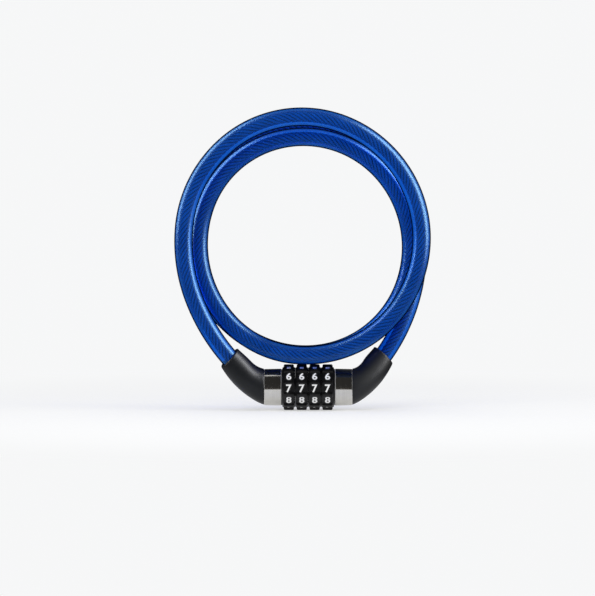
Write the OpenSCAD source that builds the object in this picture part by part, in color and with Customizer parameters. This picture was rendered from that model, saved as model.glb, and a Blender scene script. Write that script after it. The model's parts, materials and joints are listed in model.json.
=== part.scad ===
// Self-coiling cable lock with a four-wheel combination barrel, millimetres.
// The barrel lies along X with the plug at the +X end, the coil stands above it along +Z,
// and the front is -Y. The origin is on the resting plane, under the middle of the whole lock.

/* [Barrel] */
// Pitch of the number wheels along the barrel
wheel_pitch = 7; // [6.6:0.1:8]
// Distance from the barrel axis to the top of a finger ridge
ridge_r = 12.4; // [11.8:0.1:13]
// Distance from the barrel axis to a number flat
flat_r = 10.8; // [10:0.1:11]
// Outside radius of the metal collars at the wheel end
collar_r = 10; // [9.4:0.1:10.4]
// Length of a metal collar
collar_len = 9.5; // [9:0.1:12]
// How far from the middle of the barrel the collars start
collar_start = 14.5; // [14.5:0.1:16]

/* [Mechanism] */
// Radius of the plug's pin
pin_r = 3; // [2.6:0.05:3.2]
// Running clearance of the pin in its bore, on radius
pin_gap = 0.05; // [0.02:0.01:0.1]
// Outside radius of the slotted tube that the wheels turn on
tube_r = 5.2; // [5:0.05:5.4]
// Running clearance of the tumblers on the tube, on radius
tumbler_gap = 0.08; // [0.02:0.01:0.1]
// Width of a lug on the pin
lug_w = 2; // [1.6:0.1:2.2]
// Reach of a lug from the axis
lug_r = 6.5; // [6:0.1:6.6]

/* [Boots] */
// Distance from the middle of the barrel to the left boot's mouth, along the barrel
left_mouth_x = 42.7; // [41:0.1:45]
// Height of the left boot's mouth over the barrel axis
left_mouth_z = 16.2; // [15.5:0.1:18]
// Slope at which the cable leaves the left boot
left_slope = 50; // [46:1:56]
// Distance from the middle of the barrel to the right boot's mouth, along the barrel
right_mouth_x = 41; // [40:0.1:44]
// Height of the right boot's mouth over the barrel axis
right_mouth_z = 17.2; // [16:0.1:18]
// Slope at which the cable leaves the right boot
right_slope = 54.5; // [48:0.5:58]
// Radius of a boot where it meets its collar
boot_r = 9.75; // [9.4:0.05:10]
// Radius of a boot at its mouth
mouth_r = 6.65; // [6.3:0.05:7]
// Turn of each boot about the barrel: the left one leans forward and the right one back
boot_lean = 12; // [8:1:14]

/* [Cable] */
// Outside diameter of the jacket
cable_d = 10; // [9:0.5:10]
// Diameter of the steel rope inside
rope_d = 4; // [3:0.5:4]
// Spacing of the coil's turns from front to back
turn_gap = 10.6; // [10.5:0.1:12]
// Clear gap left at each flexing point
flex_gap = 1; // [0.8:0.1:1.6]

/* [Hidden] */
$fn = 48;

LEFT = -1;
RIGHT = 1;

// wheels and tumblers
wheel_count = 4;
stack_end = wheel_count * wheel_pitch / 2;  // half the length of the wheel stack
wheel_w = wheel_pitch - 0.1;                // 0.1 mm between neighbouring wheels
wheel_bore_r = 8.15;
digits = 10;
digit_step = 360 / digits;
tumbler_r = 8.08;
key_at = 8.1;                               // from the axis to the middle of a key
key_r = 0.6;
key_gap = 0.06;
detent_at = tube_r + 0.3;                   // from the axis to the middle of a detent groove
washer_r = 9.85;
washer_edge_r = 9.7;                        // where its edge bevel starts
lug_len = 2.5;

// collars and the cable anchors in them
collar_end = collar_start + collar_len;
socket_r = 8.45;                            // inside of a collar
anchor_r = 8.4;                             // solid end that fills it
ferrule_r = 4;
ferrule_start = 15.6;                       // ferrule span along the barrel, both ends
ferrule_end = 21;
cross_x = 18.3;                             // where the cross pin passes
cross_r = 1;                                // outside radius of the cross pin

// cable
cable_r = cable_d / 2;
rope_r = rope_d / 2;
rope_bore = rope_r + 0.08;
bend_r = 14;                                // bend of the bare rope inside a boot
socket_depth = 12;                          // how deep the jacket sits in a boot
cable_parts = 9;
part_steps = 16;                            // steps along one part of the coil
sweep_sides = 9;                            // sides of the rope and of the jacket's bore

black = [0.05, 0.05, 0.055];
steel = [0.62, 0.62, 0.60];
brass = [0.72, 0.60, 0.34];
nickel = [0.72, 0.71, 0.69];
blue = [0.03, 0.15, 0.62];

// ---------- cable path ----------
// Each row is one stretch of the coil, from the left boot's mouth clockwise, as seen from
// the front, to the right boot's mouth: [bend radius, turn in degrees].
bends = [
  [107.5, 20], [87, 25], [67, 45], [62, 60], [66, 60],
  [64, 60], [62.5, 45], [55, 45], [62.5, 60], [56, 60],
  [57.5, 60], [61, 60], [57, 60], [59.5, 60], [64, 60],
  [60, 60], [63, 50], [57, 40], [98.5, 30], [98.5, 16.5]];
bend_count = len(bends);

// A place on the path is given by u, the degrees turned since the left mouth.
// turned_at holds u, and knots holds [x, z], at the start of each stretch and at the end.
turned_at = [for (i = 0, turn = 0; i <= bend_count;
  turn = turn + (i < bend_count ? bends[i][1] : 0), i = i + 1) turn];
turn_all = turned_at[bend_count];
start_heading = 180 - atan2(sin(left_slope) * cos(boot_lean), cos(left_slope));
function arc_step(radius, heading, turn) =
  2 * radius * sin(turn / 2) * [cos(heading - turn / 2), sin(heading - turn / 2)];
function heading_at(i) = start_heading - turned_at[i];
knots = [for (i = 0, p = [-left_mouth_x, left_mouth_z]; i <= bend_count;
  p = i < bend_count ? p + arc_step(bends[i][0], heading_at(i), bends[i][1]) : p,
  i = i + 1) p];
// what the rounded radii leave open at the right mouth, spread along the coil
closing = [right_mouth_x, right_mouth_z] - knots[bend_count];

coil_lift = 0.35;                           // keeps the lowest strand clear of the wheels
lift_turn = 60;                             // the lift fades in and out over this turn
function smooth(t) = let (c = min(1, max(0, t))) c * c * (3 - 2 * c);
function stretch(u) = max(0, len([for (i = [0 : bend_count - 1]) if (turned_at[i] <= u) i]) - 1);
function flat_path(u) = let (i = stretch(u))
  knots[i] + arc_step(bends[i][0], heading_at(i), u - turned_at[i]) + closing * (u / turn_all)
  + [0, coil_lift * smooth(u / lift_turn) * smooth((turn_all - u) / lift_turn)];

// Depth (y): out of the left boot to the front turn, through the middle turn, to the back
// turn and into the right boot.
leg = 45;                                   // turn taken between a boot and its coil turn
leg_slope = 11;                             // depth slope at the mouth, per leg
to_middle = [262, 366];                     // crossing from the front turn to the middle
to_back = [622, 726];                       // crossing from the middle turn to the back
left_y = left_mouth_z * tan(boot_lean);
right_y = right_mouth_z * tan(boot_lean);
// cubic from one value to another, with a given slope at the start and none at the end
function ease(t, from, slope, to) = (2*t*t*t - 3*t*t + 1) * from
  + (t*t*t - 2*t*t + t) * slope + (3*t*t - 2*t*t*t) * to;
function crossing(u, span) = smooth((u - span[0]) / (span[1] - span[0]));
function depth(u) =
  u < leg ? ease(u / leg, -left_y, -leg_slope, -turn_gap) :
  u < turn_all - leg ? turn_gap * (crossing(u, to_middle) + crossing(u, to_back) - 1) :
  ease((turn_all - u) / leg, right_y, leg_slope, turn_gap);

function centre(u) = let (p = flat_path(u)) [p[0], depth(u), p[1]];
function unit(v) = v / norm(v);
function tangent(u) = unit(centre(min(turn_all, u + 0.4)) - centre(max(0, u - 0.4)));
function ring(u, r, sides) = let (
    middle = centre(u),
    across = unit(cross([0, 1, 0], tangent(u))),
    up = cross(tangent(u), across))
  [for (j = [0 : sides - 1])
    middle + r * (cos(360 * j / sides) * across + sin(360 * j / sides) * up)];

// The coil is cut in equal turns, with half a flexing gap taken off each end of a part.
function hinge_u(i) = turn_all * i / cable_parts;
function trim(u) = (flex_gap / 2) / bends[stretch(u)][0] * 180 / PI;
function stations(part) = let (
    from = hinge_u(part) + trim(hinge_u(part)),
    to = hinge_u(part + 1) - trim(hinge_u(part + 1) - 1))
  [for (k = [0 : part_steps]) from + (to - from) * k / part_steps];

// ---------- sweeping ----------
function rings(part, r, sides) = [for (u = stations(part)) each ring(u, r, sides)];
function outer_walls(sides) =
  [for (k = [0 : part_steps - 1], j = [0 : sides - 1]) let (next = (j + 1) % sides)
    [k * sides + j, k * sides + next, (k + 1) * sides + next, (k + 1) * sides + j]];

// tube along one part of the coil, with twice as many sides outside as inside
module swept_tube(part, outer_r, inner_r, sides) {
  outer_sides = 2 * sides;
  outer = rings(part, outer_r, outer_sides);
  inner = rings(part, inner_r, sides);
  base = len(outer);
  last_outer = part_steps * outer_sides;
  last_inner = base + part_steps * sides;
  bore = [for (k = [0 : part_steps - 1], j = [0 : sides - 1])
    let (next = (j + 1) % sides, here = base + k * sides, ahead = here + sides)
    [here + j, ahead + j, ahead + next, here + next]];
  first_face = [for (j = [0 : sides - 1]) let (next = (j + 1) % sides)
    [base + j, base + next, (2 * j + 2) % outer_sides, 2 * j + 1, 2 * j]];
  last_face = [for (j = [0 : sides - 1]) let (next = (j + 1) % sides)
    [last_inner + next, last_inner + j, last_outer + 2 * j, last_outer + 2 * j + 1,
      last_outer + (2 * j + 2) % outer_sides]];
  polyhedron(concat(outer, inner),
    concat(outer_walls(outer_sides), bore, first_face, last_face), convexity = 8);
}
module swept_rod(part, r, sides) {
  first_face = [for (j = [sides - 1 : -1 : 0]) j];
  last_face = [for (j = [0 : sides - 1]) part_steps * sides + j];
  polyhedron(rings(part, r, sides), concat(outer_walls(sides), [first_face, last_face]),
    convexity = 8);
}

// ---------- placing ----------
path_xs = [for (u = [0 : 2 : turn_all]) flat_path(u)[0]];
lock_x = -(max(path_xs) + min(path_xs)) / 2;
module place() translate([lock_x, 0, ridge_r]) children();
module along_x() rotate([0, 90, 0]) children();   // local Z becomes X, local -X becomes Z
// a shape drawn at the +X end, mirrored for the left
module at_end(end) mirror([end < 0 ? 1 : 0, 0, 0]) children();
module rod(x0, x1, r) translate([x0, 0, 0]) along_x() cylinder(r = r, h = x1 - x0, $fn = 96);
// a profile of [x, r] turned about the barrel axis
module turned(profile) along_x() rotate_extrude($fn = 96)
  polygon([for (p = profile) [p[1], p[0]]]);
module wheel_at(i) translate([(i - (wheel_count + 1) / 2) * wheel_pitch, 0, 0]) children();
// a block standing on the barrel axis, centred from front to back
module top_block(x, length, width, height)
  translate([x, -width / 2, 0]) cube([length, width, height]);
// local Z runs from front to back through the place of a cross pin
module crosswise(end) translate([end * cross_x, 0, ferrule_r]) rotate([90, 0, 0]) children();

// ---------- number wheels ----------
// half of the wheel's turned profile, from the bore out to the middle: [r, z from the middle]
wheel_profile = [[0, wheel_w / 2], [10.5, wheel_w / 2], [10.7, wheel_w / 2 - 0.2],
  [flat_r + 0.2, 2.8], [ridge_r - 0.35, 2.72], [ridge_r + 0.2, 2.2]];
// half of a finger ridge's section, from its root out: [r, half width]
ridge_profile = [[9, 1.4], [flat_r + 0.1, 1.25], [ridge_r - 0.35, 1.0], [ridge_r, 0.75]];
function flipped(half) = [for (p = half) [p[0], -p[1]]];
function reversed(half) = [for (i = [len(half) - 1 : -1 : 0]) half[i]];
function both_halves(half) = concat(flipped(half), reversed(half));

module number_wheel(i) color(black) place() wheel_at(i) along_x() difference() {
  intersection() {
    rotate_extrude($fn = 96) polygon(both_halves(wheel_profile));
    union() {
      cylinder(r = flat_r / cos(digit_step / 2), h = 8, center = true, $fn = 10);
      for (k = [0 : digits - 1]) rotate(digit_step * k)
        linear_extrude(height = 8, center = true) polygon(both_halves(ridge_profile));
    }
  }
  cylinder(r = wheel_bore_r, h = 10, center = true, $fn = 96);
  keys(key_r + key_gap, 10);
}
module keys(r, h) for (k = [0 : digits - 1]) rotate(digit_step * (k + 0.5))
  translate([key_at, 0, 0]) cylinder(r = r, h = h, center = true, $fn = 24);

// ---------- tumblers: gated rings keyed inside the wheels ----------
module tumbler(i) color(brass) place() wheel_at(i) along_x() difference() {
  union() {
    cylinder(r = tumbler_r, h = wheel_w - 0.2, center = true, $fn = 96);
    keys(key_r, wheel_w - 0.2);
  }
  cylinder(r = tube_r + tumbler_gap, h = 10, center = true, $fn = 96);
  // pocket in which a lug can stay while the wheel turns
  translate([0, 0, -5.4]) cylinder(r = 7, h = 6, $fn = 96);
  // gate, in line with the tube's slot when the right number is set
  translate([-6.9, -lug_w / 2 - 0.25, -5]) cube([6, lug_w + 0.5, 10]);
  // detent grooves, one for each number
  for (k = [0 : digits - 1]) rotate(digit_step * k) translate([detent_at, 0, 0])
    cylinder(r = 0.5, h = 10, center = true, $fn = 24);
}

// ---------- parts found at both ends ----------
module collar(end) at_end(end)
  turned([[collar_start, socket_r], [collar_start, collar_r - 0.35],
    [collar_start + 0.35, collar_r], [collar_end - 0.35, collar_r - 0.2],
    [collar_end, collar_r - 0.5], [collar_end, socket_r]]);
// solid end that fills a collar
module anchor(end) at_end(end)
  turned([[collar_start + 0.1, 0], [collar_start + 0.1, anchor_r],
    [collar_end - 2.1, anchor_r], [collar_end - 1.7, anchor_r - 0.4], [collar_end - 1.7, 0]]);
// ferrule with a groove round it for the cross pin
module ferrule(end) {
  groove_half = cross_r + 0.1;
  groove_r = ferrule_r - cross_r - 0.02;
  at_end(end) turned([
    [ferrule_start + 0.1, rope_r + 0.05], [ferrule_start + 0.1, ferrule_r - 0.3],
    [ferrule_start + 0.4, ferrule_r], [cross_x - groove_half, ferrule_r],
    [cross_x - groove_half, groove_r], [cross_x + groove_half, groove_r],
    [cross_x + groove_half, ferrule_r], [ferrule_end, ferrule_r],
    [ferrule_end, rope_r + 0.05]]);
}
module cross_pin(end) crosswise(end) difference() {
  cylinder(r = cross_r, h = 13.6, center = true, $fn = 32);
  cylinder(r = 0.55, h = 16, center = true, $fn = 32);
}
module cross_pin_hole(end) crosswise(end)
  cylinder(r = cross_r + 0.03, h = 30, center = true, $fn = 32);

// ---------- fixed side ----------
module slotted_tube() color(steel) place() difference() {
  union() {
    rod(-collar_start - 0.2, stack_end, tube_r);
    anchor(LEFT);
  }
  rod(-stack_end + 0.3, stack_end + 1, pin_r + pin_gap);
  rod(-collar_end, -ferrule_start + 0.05, ferrule_r + 0.05);
  // slot for the lugs, along the top
  top_block(-stack_end + 0.3, 30, lug_w + 0.2, 9);
  // seat of the detent spring, along the bottom
  translate([-stack_end + 0.2, -1.3, -tube_r - 1]) cube([2 * stack_end - 0.4, 2.6, 1.95]);
  cross_pin_hole(LEFT);
}
module left_collar() color(nickel) place() collar(LEFT);
module left_washer() color(black) place()
  turned([[-collar_start + 0.02, tube_r + 0.05], [-collar_start + 0.02, washer_edge_r],
    [-collar_start + 0.12, washer_r], [-stack_end - 0.02, washer_r],
    [-stack_end - 0.02, tube_r + 0.05]]);
// ring at the open end of the tube, notched to let the lugs through
module end_ring() color(black) place() difference() {
  turned([[stack_end, pin_r + 0.3], [stack_end, washer_edge_r], [stack_end + 0.08, washer_r],
    [collar_start - 0.14, washer_r], [collar_start - 0.08, washer_r - 0.1],
    [collar_start - 0.08, pin_r + 0.3]]);
  top_block(stack_end - 1, 3, lug_w + 0.4, lug_r + 0.4);
}
// strip under the tumblers with a half ball for each
module detent_spring() color(steel) place() union() {
  translate([-stack_end + 0.4, -1.1, -tube_r + 0.6]) cube([2 * stack_end - 0.8, 2.2, 0.3]);
  for (i = [1 : wheel_count]) wheel_at(i) translate([2, 0, -tube_r + 0.86]) intersection() {
    sphere(r = 0.9, $fn = 32);
    translate([-1, -1, -1]) cube([2, 2, 1]);
  }
}
module left_ferrule() color(steel) place() ferrule(LEFT);
module left_cross_pin() color(steel) place() cross_pin(LEFT);

// ---------- boots and cable ends ----------
// Both are drawn upright toward +X, then mirrored for the left and leaned about the barrel.
function mouth_x(end) = end < 0 ? left_mouth_x : right_mouth_x;
function slope(end) = end < 0 ? left_slope : right_slope;
// mouth height before leaning
function upright_z(end) = (end < 0 ? left_mouth_z : right_mouth_z) / cos(boot_lean);
// straight run of bare rope between its bend and the jacket
function bare_run(end) =
  (upright_z(end) - socket_depth * sin(slope(end)) - bend_r * (1 - cos(slope(end))))
  / sin(slope(end));
// where the rope leaves the barrel axis
function bend_x(end) = mouth_x(end) - (socket_depth + bare_run(end)) * cos(slope(end))
  - bend_r * sin(slope(end));
module leaned(end) rotate([end * -boot_lean, 0, 0]) at_end(end) children();
// frame at the mouth: local Z runs out of the boot along the cable
module at_mouth(end) translate([mouth_x(end), 0, upright_z(end)])
  rotate([0, 90 - slope(end), 0]) children();

// rope from x_from round the bend, ending short of the mouth by stop;
// grow widens it into a passage
module rope_run(end, grow, x_from, stop) {
  r = rope_r + grow;
  lap = 0.3;
  reach = socket_depth + bare_run(end) + lap;
  union() {
    translate([x_from, 0, 0]) along_x() cylinder(r = r, h = bend_x(end) - x_from + lap);
    translate([bend_x(end), 0, bend_r]) rotate([90, 0, 0]) rotate([0, 0, -90])
      rotate_extrude(angle = slope(end), $fn = 96)
        translate([bend_r, 0]) circle(r = r - 0.04, $fn = 32);
    at_mouth(end) translate([0, 0, -reach]) cylinder(r = r, h = reach - stop);
  }
}

// solid boot: rings swept along a three-point curve from the collar to the mouth
module boot(end) {
  sides = 24;
  steps = 12;
  start_slope = 14;
  end_slope = slope(end) + 3;        // the curve ends steeper than the cable
  face_slope = slope(end) - 7;       // the mouth is cut a little flatter than the cable leaves
  start = [collar_end, 0.3];
  mouth = [mouth_x(end), upright_z(end)];
  span = mouth - start;
  back = (span[1] - span[0] * tan(start_slope))
    / (sin(end_slope) - cos(end_slope) * tan(start_slope));
  corner = mouth - back * [cos(end_slope), sin(end_slope)];
  function middle(k) = (1 - k) * (1 - k) * start + 2 * k * (1 - k) * corner + k * k * mouth;
  // the last ring is drawn in to bevel the rim
  function radius(k) = (boot_r - (boot_r - mouth_r) * pow(k, 1.7)) * (k > 0.99 ? 0.955 : 1);
  places = concat([for (i = [0 : steps]) 0.985 * i / steps], [1]);
  points = [for (k = places)
    let (p = middle(k), tilt = face_slope * smooth(k * 0.5 + 0.5 * k * k), r = radius(k))
    each [for (j = [0 : sides - 1]) let (a = 360 * j / sides)
      [p[0] - r * cos(a) * sin(tilt), r * sin(a), p[1] + r * cos(a) * cos(tilt)]]];
  rows = len(places);
  hubs = [[start[0], 0, start[1]], [mouth[0], 0, mouth[1]]];
  hub = rows * sides;
  last = hub - sides;
  polyhedron(concat(points, hubs), concat(
    [for (i = [0 : rows - 2], j = [0 : sides - 1]) let (next = (j + 1) % sides)
      [i * sides + j, (i + 1) * sides + next, (i + 1) * sides + j]],
    [for (i = [0 : rows - 2], j = [0 : sides - 1]) let (next = (j + 1) % sides)
      [i * sides + j, i * sides + next, (i + 1) * sides + next]],
    [for (j = [0 : sides - 1]) [hub, (j + 1) % sides, j]],
    [for (j = [0 : sides - 1]) [hub + 1, last + j, last + (j + 1) % sides]]),
    convexity = 6);
}
module hollow_boot(end) leaned(end) difference() {
  union() {
    boot(end);
    // spigot inside the collar
    translate([collar_end - 1.5, 0, 0]) along_x()
      cylinder(r = socket_r - 0.05, h = 2.5, $fn = 96);
  }
  rope_run(end, grow = 0.3, x_from = collar_end - 4, stop = 0);
  at_mouth(end) translate([0, 0, -socket_depth - 0.3])
    cylinder(r = cable_r + 0.3, h = socket_depth + 6, $fn = 96);
}
module rope_end(end) leaned(end)
  rope_run(end, grow = 0, x_from = ferrule_start + 0.2, stop = flex_gap / 2);
module jacket_end(end) leaned(end) at_mouth(end) translate([0, 0, -socket_depth])
  difference() {
    cylinder(r = cable_r, h = socket_depth - flex_gap / 2, $fn = 96);
    translate([0, 0, -1]) cylinder(r = rope_bore, h = socket_depth + 2);
  }
module left_boot() color(black) place() hollow_boot(LEFT);
module rope_left_end() color(steel) place() rope_end(LEFT);
module jacket_left_end() color(blue) place() jacket_end(LEFT);
module right_boot() color(black) place() hollow_boot(RIGHT);
module rope_right_end() color(steel) place() rope_end(RIGHT);
module jacket_right_end() color(blue) place() jacket_end(RIGHT);

// ---------- plug side ----------
module plug_pin() color(steel) place() difference() {
  union() {
    turned([[-stack_end + 0.7, 0], [-stack_end + 0.7, pin_r - 0.6], [-stack_end + 1.3, pin_r],
      [collar_start + 0.2, pin_r], [collar_start + 0.2, 0]]);
    anchor(RIGHT);
    for (i = [1 : wheel_count]) wheel_at(i) lug();
  }
  rod(ferrule_start - 0.05, collar_end, ferrule_r + 0.05);
  cross_pin_hole(RIGHT);
}
// lug with its top edge bevelled on the plug side
module lug() translate([-2.6, -lug_w / 2, 0]) difference() {
  cube([lug_len, lug_w, lug_r]);
  translate([lug_len, -1, lug_r - 0.4]) rotate([0, -45, 0]) cube([2, lug_w + 2, 2]);
}
module right_collar() color(nickel) place() collar(RIGHT);
module right_ferrule() color(steel) place() ferrule(RIGHT);
module right_cross_pin() color(steel) place() cross_pin(RIGHT);

// ---------- the coil, in nine parts that flex at their joints ----------
module jacket(i) color(blue) place() swept_tube(i - 1, cable_r, rope_bore, sweep_sides);
module rope(i) color(steel) place() swept_rod(i - 1, rope_r, sweep_sides);

slotted_tube();
left_collar();
left_boot();
left_ferrule();
left_cross_pin();
left_washer();
end_ring();
detent_spring();
jacket_left_end();
rope_left_end();
number_wheel(1);  // number_wheel_1
number_wheel(2);  // number_wheel_2
number_wheel(3);  // number_wheel_3
number_wheel(4);  // number_wheel_4
tumbler(1);  // tumbler_1
tumbler(2);  // tumbler_2
tumbler(3);  // tumbler_3
tumbler(4);  // tumbler_4
plug_pin();
right_collar();
right_boot();
right_ferrule();
right_cross_pin();
jacket_right_end();
rope_right_end();
jacket(1);  // jacket_1
jacket(2);  // jacket_2
jacket(3);  // jacket_3
jacket(4);  // jacket_4
jacket(5);  // jacket_5
jacket(6);  // jacket_6
jacket(7);  // jacket_7
jacket(8);  // jacket_8
jacket(9);  // jacket_9
rope(1);  // rope_1
rope(2);  // rope_2
rope(3);  // rope_3
rope(4);  // rope_4
rope(5);  // rope_5
rope(6);  // rope_6
rope(7);  // rope_7
rope(8);  // rope_8
rope(9);  // rope_9
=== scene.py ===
"""A combination cable lock: a barrel with four number wheels between two turned collars, a
moulded boot on each end, and a blue vinyl cable with a wire rope inside, coiled above it.

The barrel lies along X with its left end towards -X. The front is -Y and up is +Z.
Shapes are worked out in millimetres from the middle of the barrel's axis ("lock mm") and
turned into the frame's metres by world().
"""
import bpy
import json
import math
import numpy as np
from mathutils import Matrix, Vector

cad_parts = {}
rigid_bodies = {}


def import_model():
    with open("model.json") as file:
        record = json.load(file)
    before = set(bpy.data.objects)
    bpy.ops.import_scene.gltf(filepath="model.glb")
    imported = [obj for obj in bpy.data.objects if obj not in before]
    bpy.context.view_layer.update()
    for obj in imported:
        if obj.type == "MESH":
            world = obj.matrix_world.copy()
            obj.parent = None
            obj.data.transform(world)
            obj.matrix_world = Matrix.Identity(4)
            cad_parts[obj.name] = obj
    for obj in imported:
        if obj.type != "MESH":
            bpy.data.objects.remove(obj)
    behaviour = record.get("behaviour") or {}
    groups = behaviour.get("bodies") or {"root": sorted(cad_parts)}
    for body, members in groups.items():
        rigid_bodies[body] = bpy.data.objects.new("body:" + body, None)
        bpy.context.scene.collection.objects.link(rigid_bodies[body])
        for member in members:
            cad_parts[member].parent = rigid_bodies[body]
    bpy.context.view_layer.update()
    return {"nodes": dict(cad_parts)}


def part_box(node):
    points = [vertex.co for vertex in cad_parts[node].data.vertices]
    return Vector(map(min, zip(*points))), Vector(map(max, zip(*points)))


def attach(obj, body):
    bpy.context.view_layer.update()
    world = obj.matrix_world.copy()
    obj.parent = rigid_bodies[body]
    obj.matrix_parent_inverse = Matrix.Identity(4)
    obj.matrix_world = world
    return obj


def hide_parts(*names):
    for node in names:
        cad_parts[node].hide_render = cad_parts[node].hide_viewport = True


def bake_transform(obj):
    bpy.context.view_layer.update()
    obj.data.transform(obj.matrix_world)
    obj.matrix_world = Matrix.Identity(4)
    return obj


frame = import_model()

MM = 0.001
scene = bpy.context.scene
root = scene.collection

# ------------------------------------------------------------------ driving dimensions, mm
LEFT, RIGHT = -1, 1
SIDES = ((LEFT, "left", "lock_body"), (RIGHT, "right", "plug"))   # side, name, moving body

COLLAR_START, COLLAR_END = 14.5, 24.0       # distance of a collar's ends from the middle
MOUTH = {LEFT: (42.7, 16.2), RIGHT: (41.0, 17.2)}     # boot mouths: distance along X, height
RISE = {LEFT: 50.0, RIGHT: 54.5}            # degrees the cable climbs as it leaves a boot
LEAN = math.radians(12)                     # left boot leans to the front, right to the back

CABLE_RADIUS = 5.0
WHEEL_NUMBERS = (1, 2, 3, 4)
WHEEL_PITCH = 7.0
FLAT_RADIUS = 10.8                          # axis to the flats that carry the digits
DIGIT_STEP = 36                             # degrees

collar_low, collar_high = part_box("left_collar")
axis_z = 0.5 * (collar_low.z + collar_high.z) * 1000
lock_x = 1000 * collar_high.x + COLLAR_START
LOCK = np.array([lock_x, 0.0, axis_z])


def world(points):
    """lock mm to frame metres"""
    return (np.asarray(points, float) + LOCK) * MM


# ------------------------------------------------------------------ mesh helpers
def mesh_object(name, verts, faces, materials, sharp_deg=None, material_index=None):
    """verts in metres; smooth with edges sharper than sharp_deg kept, or flat without it"""
    mesh = bpy.data.meshes.new(name)
    mesh.from_pydata([tuple(v) for v in verts], [], faces)
    mesh.update()
    if sharp_deg is not None:
        mesh.polygons.foreach_set("use_smooth", np.ones(len(mesh.polygons), bool))
    for material in materials:
        mesh.materials.append(material)
    if material_index is not None:
        mesh.polygons.foreach_set("material_index", np.asarray(material_index, np.int32))
    if sharp_deg is not None:
        mesh.set_sharp_from_angle(angle=math.radians(sharp_deg))
    obj = bpy.data.objects.new(name, mesh)
    root.objects.link(obj)
    return obj


def loft(rings, closed=False):
    """Joins rings of lock mm points into (verts, faces). A closed loft joins the last ring to
    the first; an open one ends with its start cap and its end cap, in that order."""
    count, size = len(rings), len(rings[0])
    faces = []
    for i in range(count if closed else count - 1):
        here, ahead = i * size, ((i + 1) % count) * size
        for j in range(size):
            k = (j + 1) % size
            faces.append((here + j, here + k, ahead + k, ahead + j))
    if not closed:
        faces.append(tuple(range(size - 1, -1, -1)))
        faces.append(tuple((count - 1) * size + j for j in range(size)))
    return world(np.concatenate(rings)), faces


def join(parts):
    """merges (verts, faces) parts into one"""
    faces, base = [], 0
    for verts, part_faces in parts:
        faces += [tuple(v + base for v in face) for face in part_faces]
        base += len(verts)
    return np.concatenate([verts for verts, _ in parts]), faces


def axis_ring(x, radius, angles):
    """points round the barrel axis; angle 0 is the front, and angles climb towards +Z"""
    return np.stack([np.full(len(angles), x), -radius * np.cos(angles),
                     radius * np.sin(angles)], 1)


def lean(x, y, z, side):
    """takes a point drawn for an upright right boot to its own side, leaned about the axis"""
    angle = -side * LEAN
    c, s = math.cos(angle), math.sin(angle)
    return np.stack([side * x, c * y - s * z, s * y + c * z], -1)


def round_corners(points, radii, steps=4):
    """rounds each corner of a closed outline with its own radius"""
    out = []
    for i, (corner, radius) in enumerate(zip(points, radii)):
        back = points[i - 1] - corner
        ahead = points[(i + 1) % len(points)] - corner
        back_length, ahead_length = np.linalg.norm(back), np.linalg.norm(ahead)
        back, ahead = back / back_length, ahead / ahead_length
        half = math.acos(float(np.clip(back @ ahead, -1, 1))) / 2
        if radius <= 0 or half > math.radians(88):
            out.append(corner)
            continue
        cut = min(radius / math.tan(half), 0.45 * back_length, 0.45 * ahead_length)
        fitted = cut * math.tan(half)
        middle = back + ahead
        centre = corner + middle / np.linalg.norm(middle) * (fitted / math.sin(half))
        start, end = corner + back * cut - centre, corner + ahead * cut - centre
        cosine = start @ end / (np.linalg.norm(start) * np.linalg.norm(end))
        angle = math.acos(float(np.clip(cosine, -1, 1)))
        for k in range(steps + 1):
            t = k / steps
            arc = math.sin((1 - t) * angle) * start + math.sin(t * angle) * end
            out.append(centre + arc / math.sin(angle))
    return out


def smooth(t):
    c = np.clip(t, 0, 1)
    return c * c * (3 - 2 * c)


# ------------------------------------------------------------------ shader helpers
NOISE_SPAN = (0.3, 0.7)        # most of a noise texture's values lie in here


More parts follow.
